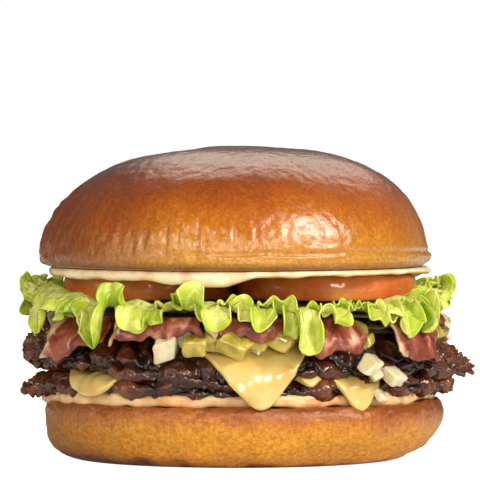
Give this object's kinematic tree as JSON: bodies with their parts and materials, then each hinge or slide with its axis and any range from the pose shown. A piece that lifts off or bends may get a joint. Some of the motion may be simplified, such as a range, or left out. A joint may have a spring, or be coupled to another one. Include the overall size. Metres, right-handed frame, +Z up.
{
  "type": "cheeseburger",
  "caption": "Double cheeseburger in a domed glazed bun, with tomato, frilly lettuce, ham strips, relish, melted cheese and two browned beef patties stacked on a flat-based heel.",
  "frame": {"origin": "centre of the heel bun's flat underside", "axes": "+Z up through the stack, -Y towards the burger's front, where the cheese corner hangs lowest, +X to its right"},
  "size_m": [0.1299, 0.1272, 0.0884],
  "materials": {
    "glazed_crust": "egg-washed brown bun crust, glossy",
    "mayonnaise": "warm cream mayonnaise, moist",
    "tomato": "cut tomato with wet red skin",
    "lettuce": "thin crisp curled leaf",
    "ham": "thin cured ham with pale fat streaks",
    "pickle": "wet diced pickle",
    "onion": "wet diced onion",
    "cheese": "melted cheese slice, soft sheen",
    "browned_beef": "seared ground beef, craggy and greasy",
    "burger_sauce": "creamy burger sauce, moist",
    "baked_crust": "golden baked heel crust"
  },
  "bodies": {
    "root": {"crown_bun": "glazed_crust", "mayonnaise": "mayonnaise", "tomato_slice_left": "tomato", "tomato_slice_right": "tomato", "tomato_slice_back": "tomato", "lettuce_leaf_front": "lettuce", "lettuce_leaf_right": "lettuce", "lettuce_leaf_back": "lettuce", "lettuce_leaf_left": "lettuce", "ham_strip_1": "ham", "ham_strip_2": "ham", "ham_strip_3": "ham", "ham_strip_4": "ham", "ham_strip_5": "ham", "ham_strip_6": "ham", "ham_strip_7": "ham", "ham_strip_8": "ham", "ham_strip_9": "ham", "ham_strip_10": "ham", "ham_strip_11": "ham", "relish": "pickle", "onion_piece_upper": "onion", "onion_piece_middle": "onion", "onion_piece_lower": "onion", "upper_cheese": "cheese", "upper_patty": "browned_beef", "lower_cheese": "cheese", "lower_patty": "browned_beef", "burger_sauce": "burger_sauce", "heel_bun": "baked_crust"}
  },
  "joints": []
}
